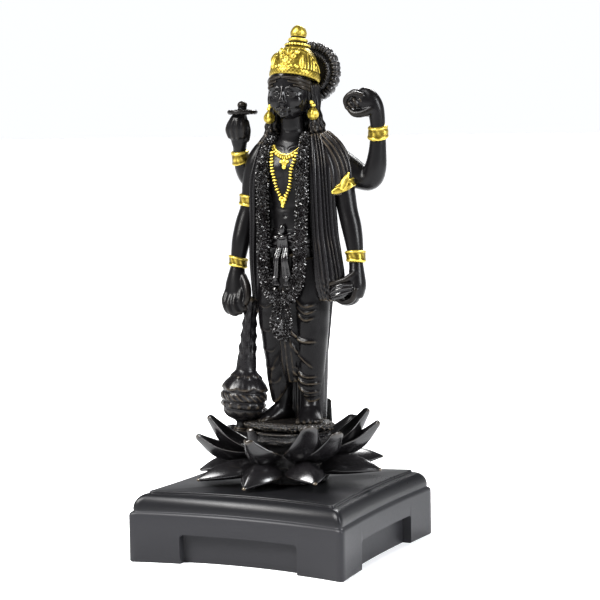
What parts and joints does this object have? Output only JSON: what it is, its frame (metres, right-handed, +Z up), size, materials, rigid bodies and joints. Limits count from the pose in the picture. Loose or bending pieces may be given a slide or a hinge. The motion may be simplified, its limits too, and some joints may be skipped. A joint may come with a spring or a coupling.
{
  "type": "vishnu figure",
  "caption": "Standing four-armed deity figure in dark cast resin with gold-painted crown and jewellery, on an open lotus on a square moulded plinth.",
  "frame": {"origin": "middle of the plinth's underside", "axes": "+Z up through the crown, the figure faces -Y, its left hand side is +X"},
  "size_m": [0.1, 0.1, 0.2277],
  "materials": {
    "satin_resin": "satin near-black cast resin",
    "gloss_resin": "glossy near-black cast resin with a brown bronze sheen on raised parts"
  },
  "bodies": {
    "root": {"plinth": "satin_resin", "lotus": "gloss_resin", "figure": "gloss_resin"}
  },
  "joints": []
}
